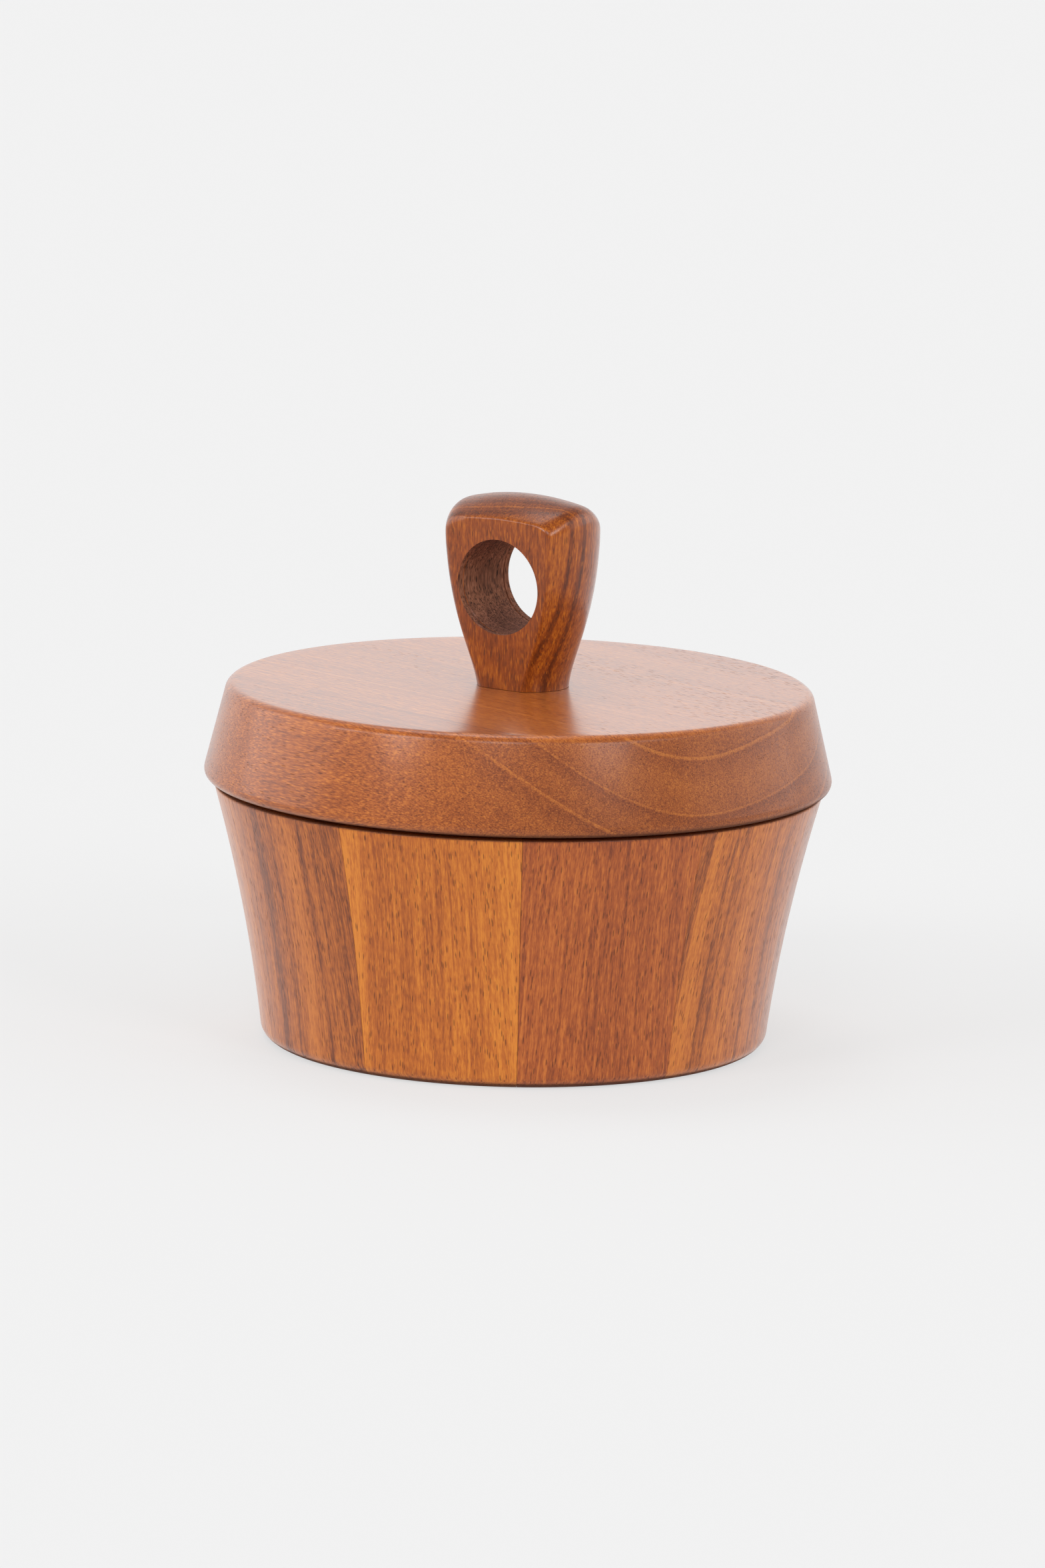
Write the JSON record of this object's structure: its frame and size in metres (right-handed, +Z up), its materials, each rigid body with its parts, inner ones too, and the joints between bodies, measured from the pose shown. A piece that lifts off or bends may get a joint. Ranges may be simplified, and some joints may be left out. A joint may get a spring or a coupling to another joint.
{
  "type": "lidded wooden box",
  "caption": "Round coopered teak box with a flared wall, an overhanging lift-off lid and a flat-sided handle bored with a finger hole.",
  "frame": {"origin": "centre of the foot, on the surface that the box stands on", "axes": "+Z up along the turning axis; the handle's finger hole runs along Y and one glue joint of the bowl faces -Y"},
  "size_m": [0.1805, 0.1806, 0.1591],
  "materials": {
    "teak_staves": "satin, oiled",
    "teak_base": "matt, oiled",
    "teak_lid": "satin, oiled",
    "teak_handle": "satin, oiled",
    "dowel_wood": "matt, bare"
  },
  "bodies": {
    "bowl": {"stave_01": "teak_staves", "stave_02": "teak_staves", "stave_03": "teak_staves", "stave_04": "teak_staves", "stave_05": "teak_staves", "stave_06": "teak_staves", "stave_07": "teak_staves", "stave_08": "teak_staves", "stave_09": "teak_staves", "stave_10": "teak_staves", "base_disc": "teak_base"},
    "lid": {"lid": "teak_lid", "handle": "teak_handle", "handle_dowel": "dowel_wood"}
  },
  "joints": [
    {"name": "lid_lift", "type": "slide", "parent": "bowl", "child": "lid", "axis": [0, 0, 1], "range_m": [0, 0.12]}
  ]
}
